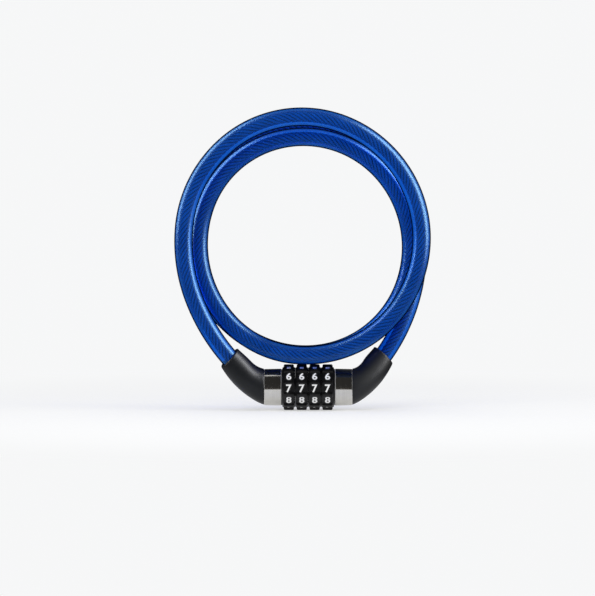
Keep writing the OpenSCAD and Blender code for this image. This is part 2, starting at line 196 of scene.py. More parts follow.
class Shader:
    """Builds a node tree. A node given as an input stands for its first output."""

    def __init__(self, owner, output="OutputMaterial"):
        self.owner = owner
        owner.use_nodes = True
        self.tree = owner.node_tree
        self.tree.nodes.clear()
        self.output = self.node(output)

    def node(self, kind, settings=None, **inputs):
        node = self.tree.nodes.new("ShaderNode" + kind)
        for name, value in (settings or {}).items():
            setattr(node, name, value)
        for name, value in inputs.items():
            self.feed(node.inputs[name.replace("_", " ")], value)
        return node

    def feed(self, socket, value):
        if isinstance(value, bpy.types.Node):
            value = value.outputs[0]
        if isinstance(value, bpy.types.NodeSocket):
            self.tree.links.new(value, socket)
        elif socket.type == "RGBA":
            socket.default_value = (*value, 1)
        else:
            socket.default_value = value

    def coords(self, scale=(1, 1, 1)):
        source = self.node("TexCoord").outputs["Object"]
        return self.node("Mapping", Vector=source, Scale=scale)

    def noise(self, coords, scale, detail, roughness):
        return self.node("TexNoise", Vector=coords, Scale=scale, Detail=detail,
                         Roughness=roughness)

    def ramp(self, factor, low, high, span=NOISE_SPAN):
        """colour low to colour high as the factor crosses the span"""
        node = self.node("ValToRGB", Fac=factor)
        for element, position, colour in zip(node.color_ramp.elements, span, (low, high)):
            element.position = position
            element.color = (*colour, 1)
        return node

    def math(self, operation, *values):
        node = self.node("Math", {"operation": operation})
        for socket, value in zip(node.inputs, values):
            self.feed(socket, value)
        return node

    def scaled(self, colour, factor):
        node = self.node("VectorMath", {"operation": "SCALE"}, Scale=factor)
        self.feed(node.inputs[0], colour)
        return node

    def spread(self, value, low, high, span=NOISE_SPAN, ease=False):
        """low to high as the value crosses the span"""
        settings = {"interpolation_type": "SMOOTHSTEP"} if ease else None
        return self.node("MapRange", settings, Value=value, From_Min=span[0],
                         From_Max=span[1], To_Min=low, To_Max=high)

    def bump(self, height, strength, distance):
        return self.node("Bump", Height=height, Strength=strength, Distance=distance)

    def mix(self, factor, first, second):
        node = self.node("MixShader", Fac=factor)
        self.feed(node.inputs[1], first)
        self.feed(node.inputs[2], second)
        return node

    def reflection_only(self, light_path):
        """1 for glossy rays that aren't transmission rays"""
        through = light_path.outputs["Is Transmission Ray"]
        return self.math("MULTIPLY", light_path.outputs["Is Glossy Ray"],
                         self.math("SUBTRACT", 1.0, through))

    def done(self, surface):
        self.feed(self.output.inputs["Surface"], surface)
        return self.owner


def new_material(name):
    return Shader(bpy.data.materials.new(name))


# ------------------------------------------------------------------ materials
def jacket_material():
    """Clear blue vinyl: a glossy skin over a body that is partly refracting and partly cloudy.
    Shadow and diffuse rays pass straight through, tinted, so that the rope inside is lit."""
    vinyl_ior = 1.47
    fog_dark, fog_light = (0.0014, 0.068, 0.31), (0.0040, 0.106, 0.43)
    see_tint = (0.045, 0.345, 0.92)
    skin_tint = (0.34, 0.68, 1.0)
    clear_tint = (0.075, 0.36, 0.94)
    reflected_grey = (0.034, 0.042, 0.062)

    m = new_material("jacket_blue_vinyl")
    coords = m.coords()
    streak = m.noise(coords, scale=150, detail=1, roughness=0.5)
    cloud = m.noise(coords, scale=60, detail=3, roughness=0.5)
    waves = m.noise(coords, scale=42, detail=0, roughness=0.0)
    normal = m.bump(waves, strength=0.04, distance=0.0004)
    facing = m.node("LayerWeight", Blend=0.5).outputs["Facing"]
    light_path = m.node("LightPath")
    mirrored = m.reflection_only(light_path)

    # a painted dark rim along the cable's silhouette, standing in for dark surroundings
    # reflected at grazing angles; weaker where the cable is seen in a reflection
    outline = m.spread(facing, low=1.0, high=0.05, span=(0.40, 0.62), ease=True)
    outline = m.math("MULTIPLY", outline, m.math("MULTIPLY_ADD", mirrored, -0.7, 1.0))

    # colours scaled down by the painted dark rim
    def rimmed(low, high):
        return m.scaled(m.ramp(cloud, low, high), outline)

    fog = m.node("BsdfPrincipled", IOR=vinyl_ior, Specular_IOR_Level=0.0,
                 Base_Color=rimmed(fog_dark, fog_light),
                 Roughness=m.spread(streak, low=0.35, high=0.55), Normal=normal)
    see = m.node("BsdfRefraction", IOR=vinyl_ior, Color=rimmed(see_tint, see_tint),
                 Roughness=m.spread(streak, low=0.015, high=0.06), Normal=normal)
    # cloudier towards the sides, where the eye passes through more vinyl beside the rope
    thickness = m.spread(facing, low=0.13, high=0.62, span=(0.10, 0.32), ease=True)
    fog_share = m.math("MULTIPLY", thickness, m.spread(streak, low=0.94, high=1.06))
    body = m.mix(fog_share, see, fog)
    skin = m.node("BsdfAnisotropic", Color=rimmed(skin_tint, skin_tint),
                  Roughness=m.spread(cloud, low=0.29, high=0.33), Normal=normal)
    whole = m.mix(m.node("Fresnel", IOR=vinyl_ior, Normal=normal), body, skin)
    # seen in a collar the cable is nearly grey
    grey = m.node("BsdfDiffuse", Color=reflected_grey)
    seen = m.mix(m.math("MULTIPLY", mirrored, 0.75), whole, grey)
    clear = m.node("BsdfTransparent", Color=clear_tint)
    passes = m.math("MAXIMUM", light_path.outputs["Is Shadow Ray"],
                    light_path.outputs["Is Diffuse Ray"])
    return m.done(m.mix(passes, seen, clear))


def inner_cut_material():
    """the cut faces inside the cable, where one jacket piece runs on into the next"""
    m = new_material("jacket_inner_cut")
    return m.done(m.node("BsdfTransparent", Color=(1, 1, 1)))


def rope_material():
    m = new_material("wire_rope_steel")
    coords = m.coords()
    fine = m.noise(coords, scale=1600, detail=3, roughness=0.6)
    broad = m.noise(coords, scale=120, detail=2, roughness=0.5)
    # painted shade in the valleys between the strands, darkening the base colour: "crown" is a
    # point's distance from the rope's axis, mm
    crown = m.node("Attribute", {"attribute_name": "crown"}).outputs["Fac"]
    painted_valley_shade = m.spread(crown, low=0.20, high=1.0, span=(1.40, 1.88), ease=True)
    steel = m.ramp(broad, low=(0.42, 0.44, 0.47), high=(0.56, 0.58, 0.61))
    return m.done(m.node("BsdfPrincipled", Metallic=0.40, Base_Color=m.scaled(steel, painted_valley_shade),
                         Roughness=m.spread(fine, low=0.28, high=0.45),
                         Normal=m.bump(fine, strength=0.25, distance=0.0001)))


def boot_material():
    """satin black moulded plastic with a fine grain"""
    m = new_material("boot_black_moulded")
    coords = m.coords()
    grain = m.noise(coords, scale=5200, detail=3, roughness=0.65)
    wave = m.noise(coords, scale=160, detail=3, roughness=0.5)
    black = m.ramp(wave, low=(0.0040, 0.0052, 0.0072), high=(0.0062, 0.0077, 0.0103),
                   span=(0.3, 0.75))
    return m.done(m.node("BsdfPrincipled", IOR=1.34, Base_Color=black,
                         Roughness=m.spread(grain, low=0.40, high=0.50),
                         Normal=m.bump(grain, strength=0.22, distance=0.00006)))


def wheel_material():
    """grained black plastic, with a painted highlight that lightens its edges"""
    m = new_material("wheel_black_moulded")
    grain = m.noise(m.coords(), scale=4200, detail=3, roughness=0.7)
    pointiness = m.node("NewGeometry").outputs["Pointiness"]
    # painted highlight: the convex edges, found from pointiness, are mixed towards a lighter
    # grey
    painted_edge_highlight = m.spread(pointiness, low=0.0, high=1.0, span=(0.52, 0.60))
    black = m.ramp(grain, low=(0.0030, 0.0030, 0.0034), high=(0.0065, 0.0065, 0.0072),
                   span=(0.3, 0.75))
    colour = m.node("Mix", {"data_type": "RGBA"}, Factor=m.math("MULTIPLY", painted_edge_highlight, 0.55),
                    A=black, B=(0.02, 0.02, 0.022))
    return m.done(m.node("BsdfPrincipled", IOR=1.37, Base_Color=colour.outputs["Result"],
                         Roughness=m.spread(grain, low=0.36, high=0.50),
                         Normal=m.bump(grain, strength=0.3, distance=0.00006)))


def speckled_material(name, low, high, span, roughness, scale, noise_roughness,
                      bump_strength, bump_distance):
    """one noise drives the colour, the roughness (low, high) and the bump"""
    m = new_material(name)
    speckle = m.noise(m.coords(), scale=scale, detail=3, roughness=noise_roughness)
    return m.done(m.node("BsdfPrincipled", Base_Color=m.ramp(speckle, low, high, span),
                         Roughness=m.spread(speckle, *roughness),
                         Normal=m.bump(speckle, bump_strength, bump_distance)))


def turned_material(name, low, high, roughness=(0.22, 0.36), metallic=1.0, bump_strength=0.12):
    """turned metal: fine lines run round the barrel axis, so the noise is stretched across X"""
    m = new_material(name)
    lines = m.noise(m.coords(scale=(1.0, 0.012, 0.012)), scale=2600, detail=5, roughness=0.7)
    blotches = m.noise(m.coords(), scale=240, detail=3, roughness=0.5)
    mixed = m.math("ADD", m.math("MULTIPLY", lines, 0.6), m.math("MULTIPLY", blotches, 0.4))
    span = (0.35, 0.65)
    return m.done(m.node("BsdfPrincipled", Metallic=metallic,
                         Base_Color=m.ramp(mixed, low, high, span),
                         Roughness=m.spread(mixed, *roughness, span=span),
                         Normal=m.bump(lines, bump_strength, distance=0.00004)))


JACKET = jacket_material()
INNER_CUT = inner_cut_material()
ROPE = rope_material()
BOOT = boot_material()
WHEEL = wheel_material()
DIGIT = speckled_material(
    "digit_white_paint", low=(0.80, 0.80, 0.79), high=(0.92, 0.92, 0.91), span=(0.35, 0.7),
    roughness=(0.42, 0.6), scale=2600, noise_roughness=0.6,
    bump_strength=0.15, bump_distance=0.00003)
COLLAR = turned_material("collar_nickel", low=(0.53, 0.52, 0.495), high=(0.64, 0.63, 0.60),
                         roughness=(0.11, 0.18), bump_strength=0.05)
# the chamfers' lighter colour is a painted highlight, standing in for the thin bright lines
# where they would catch the side lights
CHAMFER_PAINTED_HIGHLIGHT = turned_material("collar_chamfer_painted_highlight", low=(0.72, 0.71, 0.69), high=(0.86, 0.85, 0.83),
                          roughness=(0.38, 0.50), metallic=0.35, bump_strength=0.05)
STEEL = turned_material("mechanism_zinc_plate", low=(0.50, 0.51, 0.53),
                        high=(0.66, 0.67, 0.69))
BRASS = turned_material("tumbler_brass", low=(0.60, 0.42, 0.16), high=(0.80, 0.60, 0.27),
                        roughness=(0.20, 0.34))
WASHER = speckled_material(
    "washer_acetal", low=(0.012, 0.012, 0.013), high=(0.02, 0.02, 0.021), span=NOISE_SPAN,
    roughness=(0.3, 0.42), scale=900, noise_roughness=0.5,
    bump_strength=0.1, bump_distance=0.00005)

# CAD pieces that are kept as they are and only given a material
KEPT_PIECES = (
    (STEEL, ("slotted_tube", "plug_pin", "left_ferrule", "right_ferrule", "left_cross_pin",
             "right_cross_pin", "detent_spring")),
    (ROPE, ("rope_left_end", "rope_right_end")),
    (BRASS, ("tumbler_1", "tumbler_2", "tumbler_3", "tumbler_4")),
    (WASHER, ("left_washer", "end_ring")),
)
for material, names in KEPT_PIECES:
    for name in names:
        slots = frame["nodes"][name].data.materials
        slots.clear()
        slots.append(material)

# ------------------------------------------------------------------ the cable's path
# The path is followed by u, the degrees turned so far, from the left mouth to the right one.
# Seen from the front it is a chain of arcs, turning clockwise: radius mm, turn in degrees.
BENDS = np.array([
    [107.5, 20], [87, 25], [67, 45], [62, 60], [66, 60], [64, 60], [62.5, 45],
    [55, 45], [62.5, 60], [56, 60], [57.5, 60], [61, 60], [57, 60], [59.5, 60],
    [64, 60], [60, 60], [63, 50], [57, 40], [98.5, 30], [98.5, 16.5]], float)
TURNED = np.concatenate([[0], np.cumsum(BENDS[:, 1])])
TOTAL_TURN = TURNED[-1]

# The turns lie in three planes: front, middle and back.
PLANE_PITCH = 10.6
CROSSINGS = (262, 622)         # where the cable starts to move to the next plane back, degrees
CROSSING_TURN = 104
END_TURN = 45                  # each end swings from its mouth to its plane over this turn
END_SLOPE = 11                 # how fast it sets off sideways, mm per END_TURN
ARCH = 0.35                    # lift of the coil, away from its ends
ARCH_TURN = 60                 # the lift comes and goes over this turn

left_rise = math.radians(RISE[LEFT])
START_HEADING = 180 - math.degrees(math.atan2(math.sin(left_rise) * math.cos(LEAN),
                                              math.cos(left_rise)))


def arc_step(radius, heading, turn):
    """the (x, z) move along an arc from its start; angles in degrees"""
    heading, turn = np.radians(heading), np.radians(turn)
    chord = (2 * radius * np.sin(turn / 2))[..., None]
    return chord * np.stack([np.cos(heading - turn / 2), np.sin(heading - turn / 2)], -1)


knots = [np.array([-MOUTH[LEFT][0], MOUTH[LEFT][1]])]
for (radius, turn), before in zip(BENDS, TURNED):
    knots.append(knots[-1] + arc_step(radius, START_HEADING - before, turn))
knots = np.array(knots)
# what the arcs miss the right mouth by, shared out along the path
CLOSING = np.array(MOUTH[RIGHT]) - knots[-1]


def hermite(t, start, slope, end):
    """start to end as t goes from 0 to 1, leaving with the slope and arriving level"""
    return ((2 * t**3 - 3 * t**2 + 1) * start + (t**3 - 2 * t**2 + t) * slope
            + (3 * t**2 - 2 * t**3) * end)


def centre(u):
    """centre line at u degrees of turn, lock mm"""
    u = np.atleast_1d(np.asarray(u, float))
    i = np.clip(np.searchsorted(TURNED, u, side="right") - 1, 0, len(BENDS) - 1)
    xz = (knots[i] + arc_step(BENDS[i, 0], START_HEADING - TURNED[i], u - TURNED[i])
          + CLOSING * (u / TOTAL_TURN)[:, None])
    left = TOTAL_TURN - u
    xz[:, 1] += ARCH * smooth(u / ARCH_TURN) * smooth(left / ARCH_TURN)
    left_mouth_y, right_mouth_y = (MOUTH[side][1] * math.tan(LEAN) for side in (LEFT, RIGHT))
    coil_y = -PLANE_PITCH
    for start in CROSSINGS:
        coil_y = coil_y + PLANE_PITCH * smooth((u - start) / CROSSING_TURN)
    y = np.where(u < END_TURN,
                 hermite(u / END_TURN, -left_mouth_y, -END_SLOPE, -PLANE_PITCH),
                 np.where(u < TOTAL_TURN - END_TURN, coil_y,
                          hermite(left / END_TURN, right_mouth_y, END_SLOPE, PLANE_PITCH)))
    return np.stack([xz[:, 0], y, xz[:, 1]], 1)


# arc length against turn
fine_turn = np.linspace(0, TOTAL_TURN, 12001)
fine_steps = np.linalg.norm(np.diff(centre(fine_turn), axis=0), axis=1)
fine_length = np.concatenate([[0], np.cumsum(fine_steps)])
LENGTH = fine_length[-1]


def outward(side):
    """direction in which the cable leaves a boot"""
    rise = math.radians(RISE[side])
    return lean(math.cos(rise), 0.0, math.sin(rise), side)


def point(s):
    """centre line at arc length s mm; below 0 and beyond LENGTH it runs straight on"""
    s = np.atleast_1d(np.asarray(s, float))
    p = centre(np.interp(s, fine_length, fine_turn))
    before, beyond = s < 0, s > LENGTH
    p[before] = centre(0)[0] + s[before][:, None] * outward(LEFT)
    p[beyond] = centre(TOTAL_TURN)[0] - (s[beyond] - LENGTH)[:, None] * outward(RIGHT)
    return p


def path_frames(s):
    """points, tangents and two crossways directions along the path"""
    tangent = point(s + 0.6) - point(s - 0.6)
    tangent /= np.linalg.norm(tangent, axis=1)[:, None]
    normal = np.cross([0, 1, 0], tangent)
    normal /= np.linalg.norm(normal, axis=1)[:, None]
    return point(s), tangent, normal, np.cross(tangent, normal)


def length_at(u):
    return float(np.interp(u, fine_turn, fine_length))


# ------------------------------------------------------------------ cable
# Nine moving bodies share the path; each piece of jacket and rope spans one hinge.
BODY_COUNT = 9
HINGES = [length_at(TOTAL_TURN * i / BODY_COUNT) for i in range(BODY_COUNT + 1)]
JACKET_RUN_IN = 11.5           # length of jacket inside a boot
CUTS = [-JACKET_RUN_IN,
        *(length_at(TOTAL_TURN * (i + 0.5) / BODY_COUNT) for i in range(BODY_COUNT)),
        LENGTH + JACKET_RUN_IN]
JACKET_STEP = 1.5
JACKET_SIDES = 64

ROPE_RUN_IN = 0.5
ROPE_STEP = 0.9
CORE_RADIUS = 0.70
STRANDS = 6
STRAND_RADIUS = 0.66
STRAND_GROOVE = 0.085          # depth of the grooves between the wires of a strand
STRAND_CENTRE = 1.335          # rope axis to a strand's axis
STRAND_LAY = 18.6              # length of one turn of a strand
WIRE_LAY = 9.0                 # the wires in a strand turn the other way
STRAND_SIDES = 12              # six wires, a crown and a groove each


def stations(start, end, step):
    return np.linspace(start, end, int(round((end - start) / step)) + 1)


def tube(p, normal, binormal, radius, sides):
    a = np.linspace(0, 2 * math.pi, sides, endpoint=False)[None, :, None]
    return p[:, None, :] + radius * (np.cos(a) * normal[:, None, :]
                                     + np.sin(a) * binormal[:, None, :])


def follow_bodies(obj, i):
    """piece i spans hinge i: the last piece follows the last cable body, the others are baked
    where they lie and follow no body
    """
    if i == BODY_COUNT:
        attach(obj, f"cable_{BODY_COUNT}")
        return
    hinge = HINGES[i]
    low, high = (hinge - 0.6, hinge + 26) if i == 0 else (hinge - 22, hinge + 22)
    tuple(world(point(low)[0]))
    tuple(world(point(high)[0]))
    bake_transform(obj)


def jacket_piece(i):
    p, _, normal, binormal = path_frames(stations(CUTS[i], CUTS[i + 1], JACKET_STEP))
    verts, faces = loft(tube(p, normal, binormal, CABLE_RADIUS, JACKET_SIDES))
    first, last = i == 0, i == BODY_COUNT
    # the two caps come last; those inside the cable are inner cuts
    index = [0] * (len(faces) - 2) + [0 if first else 1, 0 if last else 1]
    obj = mesh_object(f"cable_jacket_{i + 1}", verts, faces, (JACKET, INNER_CUT),
                      sharp_deg=60, material_index=index)
    follow_bodies(obj, i)
    replaced = ["jacket_left_end" if first else f"jacket_{i}"]
    if last:
        replaced.append("jacket_right_end")
    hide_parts(*replaced)


def strand_rings(number, s, p, tangent, normal, binormal):
    angle = 2 * math.pi * (s / STRAND_LAY + number / STRANDS)
    c, sn = np.cos(angle)[:, None], np.sin(angle)[:, None]
    out = c * normal + sn * binormal
    middle = p + STRAND_CENTRE * out
    along = tangent + (2 * math.pi * STRAND_CENTRE / STRAND_LAY) * (-sn * normal + c * binormal)
    along /= np.linalg.norm(along, axis=1)[:, None]
    across = np.cross(along, out)
    a = (np.linspace(0, 2 * math.pi, STRAND_SIDES, endpoint=False)[None, :]
         - 2 * math.pi * s[:, None] / WIRE_LAY)
    radius = np.where(np.arange(STRAND_SIDES) % 2 == 0, STRAND_RADIUS,
                      STRAND_RADIUS - STRAND_GROOVE)[None, :]
    return (middle[:, None, :] + (radius * np.cos(a))[:, :, None] * out[:, None, :]
            + (radius * np.sin(a))[:, :, None] * across[:, None, :])


def rope_piece(i):
    """six twisted strands round a plain core"""
    s = stations(max(CUTS[i], -ROPE_RUN_IN), min(CUTS[i + 1], LENGTH + ROPE_RUN_IN), ROPE_STEP)
    p, tangent, normal, binormal = path_frames(s)
    parts, crown = [], []
    for number in range(STRANDS):
        rings = strand_rings(number, s, p, tangent, normal, binormal)
        parts.append(loft(rings))
        crown.append(np.linalg.norm(rings - p[:, None, :], axis=2).ravel())
    core = loft(tube(p, normal, binormal, CORE_RADIUS, STRAND_SIDES))
    parts.append(core)
    crown.append(np.full(len(core[0]), CORE_RADIUS))
    obj = mesh_object(f"wire_rope_{i + 1}", *join(parts), (ROPE,), sharp_deg=60)
    # the crown distance drives the painted valley shade in the rope material
    attribute = obj.data.attributes.new("crown", "FLOAT", "POINT")
    attribute.data.foreach_set("value", np.concatenate(crown).astype(np.float32))
    follow_bodies(obj, i)
    if i > 0:
        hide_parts(f"rope_{i}")


for i in range(BODY_COUNT + 1):
    jacket_piece(i)
    rope_piece(i)

# ------------------------------------------------------------------ boots
BOOT_RADIUS = 9.75             # at the collar
MOUTH_RADIUS = 6.65
BOOT_START_HEIGHT = 0.3        # the boot's centre line above the axis at the collar
BOOT_START_CLIMB = 14          # degrees the centre line climbs at the collar
BOOT_END_EXTRA = 3             # degrees it climbs at the mouth, beyond the cable's own rise
MOUTH_TILT_LESS = 7            # degrees the mouth's face is tilted less than the rise
BOOT_SIDES = 96
EDGE_RADIUS = 0.25             # rounding at the collar end and inside the lip
LIP_RADIUS = 0.55              # rounding outside the lip
BODY_PART = (0.02, 0.975)      # part of the centre line that the plain body covers
SOCKET_RADIUS = 5.3
SOCKET_STATIONS = (2.5, 5.0, 8.0, 12.2)     # depths behind the mouth
SOCKET_DEPTH = 12.3
PASSAGE_RADIUS = 2.35          # the rope's passage from the socket to the collar
PASSAGE_BEND = 14.0            # radius of its bend
PASSAGE_BEND_DEPTH = 12.0      # depth from which its straight run is counted
# the recess inside the collar end: x from the collar's end, radius
RECESS = ((-1.45, PASSAGE_RADIUS), (-1.5, 2.4), (-1.5, 8.3), (-1.4, 8.4), (0.02, 8.4))


def direction(angle):
    return np.array([math.cos(angle), math.sin(angle)])


def quarter_turn(steps, first=0):
    return [q / steps * math.pi / 2 for q in range(first, steps + 1)]


def boot(side, side_name, body):
    """Drawn upright for the right side as rings of (x, height), radius and tilt: from the
    collar along the outside to the lip, then back through the socket and the passage."""
    mouth_x, mouth_z = MOUTH[side]
    mouth_height = mouth_z / math.cos(LEAN)
    rise = math.radians(RISE[side])
    tilt = math.radians(RISE[side] - MOUTH_TILT_LESS)
    end_climb = math.radians(RISE[side] + BOOT_END_EXTRA)
    start = np.array([COLLAR_END, BOOT_START_HEIGHT])
    mouth = np.array([mouth_x, mouth_height])
    start_slope = math.tan(math.radians(BOOT_START_CLIMB))
    reach = (((mouth[1] - start[1]) - (mouth[0] - start[0]) * start_slope)
             / (math.sin(end_climb) - math.cos(end_climb) * start_slope))
    control = mouth - reach * direction(end_climb)
    angles = np.linspace(0, 2 * math.pi, BOOT_SIDES, endpoint=False)
    rings = []

    def add(place, radius, ring_tilt):
        x = place[0] - radius * np.cos(angles) * math.sin(ring_tilt)
        y = radius * np.sin(angles)
        z = place[1] + radius * np.cos(angles) * math.cos(ring_tilt)
        rings.append(lean(x, y, z, side))

    def body_radius(k):
        return BOOT_RADIUS - (BOOT_RADIUS - MOUTH_RADIUS) * k**1.7

    for w in quarter_turn(4):
        add((start[0] + EDGE_RADIUS * (1 - math.cos(w)), start[1]),
            BOOT_RADIUS - EDGE_RADIUS * (1 - math.sin(w)), 0.0)
    for k in np.linspace(*BODY_PART, 46):
        place = (1 - k)**2 * start + 2 * k * (1 - k) * control + k * k * mouth
        add(place, body_radius(k), tilt * smooth(0.5 * k + 0.5 * k * k))
    # lip: the outer edge, a flat rim, then the inner edge
    facing = direction(tilt)
    lip_radius = body_radius(BODY_PART[1]) - 0.02
    for w in quarter_turn(7, first=1):
        add(mouth - facing * LIP_RADIUS + facing * (LIP_RADIUS * math.sin(w)),
            lip_radius - LIP_RADIUS * (1 - math.cos(w)), tilt)
    for w in quarter_turn(4):
        add(mouth - facing * (EDGE_RADIUS * (1 - math.cos(w))),
            SOCKET_RADIUS + EDGE_RADIUS * (1 - math.sin(w)), tilt)
    # socket, along the cable's own direction
    inward = [(depth, SOCKET_RADIUS) for depth in SOCKET_STATIONS]
    inward += [(SOCKET_DEPTH, SOCKET_RADIUS - 0.1), (SOCKET_DEPTH, PASSAGE_RADIUS)]
    for depth, radius in inward:
        add(mouth - direction(rise) * depth, radius, rise)
    # the passage bends down to the barrel axis
    run = (mouth_height - PASSAGE_BEND_DEPTH * math.sin(rise)
           - PASSAGE_BEND * (1 - math.cos(rise))) / math.sin(rise)
    bend_x = (mouth_x - (PASSAGE_BEND_DEPTH + run) * math.cos(rise)
              - PASSAGE_BEND * math.sin(rise))
    for share in np.linspace(1, 0, 14):
        w = rise * share
        add((bend_x + PASSAGE_BEND * math.sin(w), PASSAGE_BEND * (1 - math.cos(w))),
            PASSAGE_RADIUS, w)
    for x, radius in RECESS:
        add((COLLAR_END + x, 0.0), radius, 0.0)

    verts, faces = loft(rings, closed=True)
    if side == RIGHT:
        faces = [face[::-1] for face in faces]
    obj = mesh_object(f"{side_name}_boot_shell", verts, faces, (BOOT,), sharp_deg=50)
    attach(obj, body)
    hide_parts(f"{side_name}_boot")


for side, side_name, body in SIDES:
    boot(side, side_name, body)

# ------------------------------------------------------------------ collars
# section of a collar: distance from the middle, radius, corner rounding
COLLAR_SECTION = (
    (COLLAR_START, 8.45, 0.05), (COLLAR_END, 8.45, 0.05), (COLLAR_END, 9.45, 0.12),
    (23.72, 9.80, 0.25), (23.55, 9.82, 0), (14.95, 10.0, 0), (14.75, 9.98, 0.25),
    (COLLAR_START, 9.65, 0.12),
)
COLLAR_SIDES = 192


def is_chamfer(start, end):
    """whether a stretch of the section lies between the turned face and an end face"""
    return (start[1] > 9.5 and end[1] > 9.5 and abs(start[1] - end[1]) > 0.012
            and abs(end[0] - start[0]) < 2)


def collar(side, side_name, body):
    corners = [np.array([x, r], float) for x, r, _ in COLLAR_SECTION]
    rounded = round_corners(corners, [rounding for _, _, rounding in COLLAR_SECTION])
    section = [(x * side, r) for x, r in rounded]
    if side == RIGHT:
        section = section[::-1]
    angles = np.linspace(0, 2 * math.pi, COLLAR_SIDES, endpoint=False)
    verts, faces = loft([axis_ring(x, r, angles) for x, r in section], closed=True)
    # the chamfer faces take the material with the painted highlight
    chamfer = [is_chamfer(start, end) for start, end in zip(section, section[1:] + section[:1])]
    obj = mesh_object(f"{side_name}_collar_sleeve", verts, faces, (COLLAR, CHAMFER_PAINTED_HIGHLIGHT),
                      sharp_deg=35,
                      material_index=np.repeat(np.array(chamfer, np.int32), COLLAR_SIDES))
    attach(obj, body)
    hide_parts(f"{side_name}_collar")


for side, side_name, body in SIDES:
    collar(side, side_name, body)

# ------------------------------------------------------------------ number wheels
RIDGE_ANGLE = math.radians(DIGIT_STEP / 2)     # from a flat's middle to a ridge's middle
RIDGE_FOOT = 1.24                              # half width of a ridge where it meets the flat
# half a ridge, from its foot to its middle: distance to the side, distance from the axis
RIDGE = (
    (RIDGE_FOOT, (FLAT_RADIUS - RIDGE_FOOT * math.sin(RIDGE_ANGLE)) / math.cos(RIDGE_ANGLE)),
    (1.0, 12.05), (0.75, 12.4), (0.0, 12.4),
)
# rounding of a sector's corners, from one ridge's middle across the flat to the next ridge
SECTOR_ROUNDING = [0, 0.3, 0.25, 0.4, 0.4, 0.25, 0.3]
LONGEST_SIDE = 0.45                            # longer runs of the outline are divided
BORE_RADIUS = 8.75
WHEEL_HALF = 3.48
UNCUT = 99.0                                   # a radius beyond the ridges cuts nothing
# bevel from the -X face inwards: x from the wheel's middle, largest radius
BEVEL = (
    (-WHEEL_HALF, 10.42), (-3.46, 10.54), (-3.37, 10.63), (-3.28, 10.69), (-3.1, 10.79),
    (-2.9, 10.92), (-2.8, 11.06), (-2.76, 11.3), (-2.74, 11.7), (-2.71, 11.95),
    (-2.64, 12.1), (-2.5, 12.24), (-2.3, 12.36), (-2.05, 12.5), (-1.8, 12.8),
)
WHEEL_STATIONS = (BEVEL + tuple((x, UNCUT) for x in (-1.2, -0.6, 0.0, 0.6, 1.2))
                  + tuple((-x, r) for x, r in reversed(BEVEL)))


def wheel_outline():
    """the wheel's cross-section: ten flats with a ridge between each two"""
    out = np.array([math.cos(RIDGE_ANGLE), math.sin(RIDGE_ANGLE)])
    sideways = np.array([-math.sin(RIDGE_ANGLE), math.cos(RIDGE_ANGLE)])
    half = [r * out - y * sideways for y, r in RIDGE]
    sector = [np.array([x, -y]) for x, y in reversed(half)] + half
    corners = []
    for k in range(10):
        a = math.radians(DIGIT_STEP * k)
        turn = np.array([[math.cos(a), -math.sin(a)], [math.sin(a), math.cos(a)]])
        # a sector's last point is the next one's first
        corners += [turn @ p for p in sector[:-1]]
    rounded = round_corners(corners, SECTOR_ROUNDING * 10)
    # long runs are divided so that the side bevels stay round
    dense = []
    for i, p in enumerate(rounded):
        q = rounded[(i + 1) % len(rounded)]
        dense.append(p)
        extra = int(np.linalg.norm(q - p) // LONGEST_SIDE)
        dense += [p + (q - p) * k / (extra + 1) for k in range(1, extra + 1)]
    return np.array(dense)


def soft_min(a, b, blend=0.18):
    h = np.clip(0.5 + 0.5 * (b - a) / blend, 0, 1)
    return b * (1 - h) + a * h - blend * h * (1 - h)


def wheel_x(number):
    return (number - 2.5) * WHEEL_PITCH


outline = wheel_outline()
outline_angles = np.arctan2(outline[:, 1], outline[:, 0])
outline_radii = np.linalg.norm(outline, axis=1)


def wheel(number):
    rings = [(-WHEEL_HALF, BORE_RADIUS)]
    rings += [(x, soft_min(outline_radii, largest)) for x, largest in WHEEL_STATIONS]
    rings += [(WHEEL_HALF, BORE_RADIUS)]
    verts, faces = loft([axis_ring(wheel_x(number) + x, radius, outline_angles)
                         for x, radius in rings], closed=True)
    obj = mesh_object(f"wheel_{number}_shell", verts, faces, (WHEEL,), sharp_deg=55)
    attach(obj, f"wheel_{number}")
    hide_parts(f"number_wheel_{number}")


for number in WHEEL_NUMBERS:
    wheel(number)

# ------------------------------------------------------------------ digits
DIGIT_HEIGHT = 4.4
DIGIT_RELIEF = 0.05            # above the flat, and as much below it
FRONT_DIGIT = 7


def glyph(text):
    """(verts, faces) of a character in the built-in font, centred and one unit high"""
    curve = bpy.data.curves.new("glyph", "FONT")
    curve.body = text
    curve.align_x = "CENTER"
    curve.align_y = "CENTER"
    curve.size = 1.0
    curve.offset = 0.027           # thickens the strokes
    curve.extrude = 0.008
    curve.resolution_u = 8
    obj = bpy.data.objects.new("glyph", curve)
    root.objects.link(obj)
    bpy.context.view_layer.update()
    depsgraph = bpy.context.evaluated_depsgraph_get()
    mesh = bpy.data.meshes.new_from_object(obj.evaluated_get(depsgraph))
    bpy.data.objects.remove(obj)
    verts = np.array([v.co for v in mesh.vertices], float)
    faces = [tuple(p.vertices) for p in mesh.polygons]
    bpy.data.meshes.remove(mesh)
    low, high = verts.min(0), verts.max(0)
    return (verts - (low + high) / 2) / (high[1] - low[1]), faces


GLYPHS = [glyph(str(digit)) for digit in range(10)]


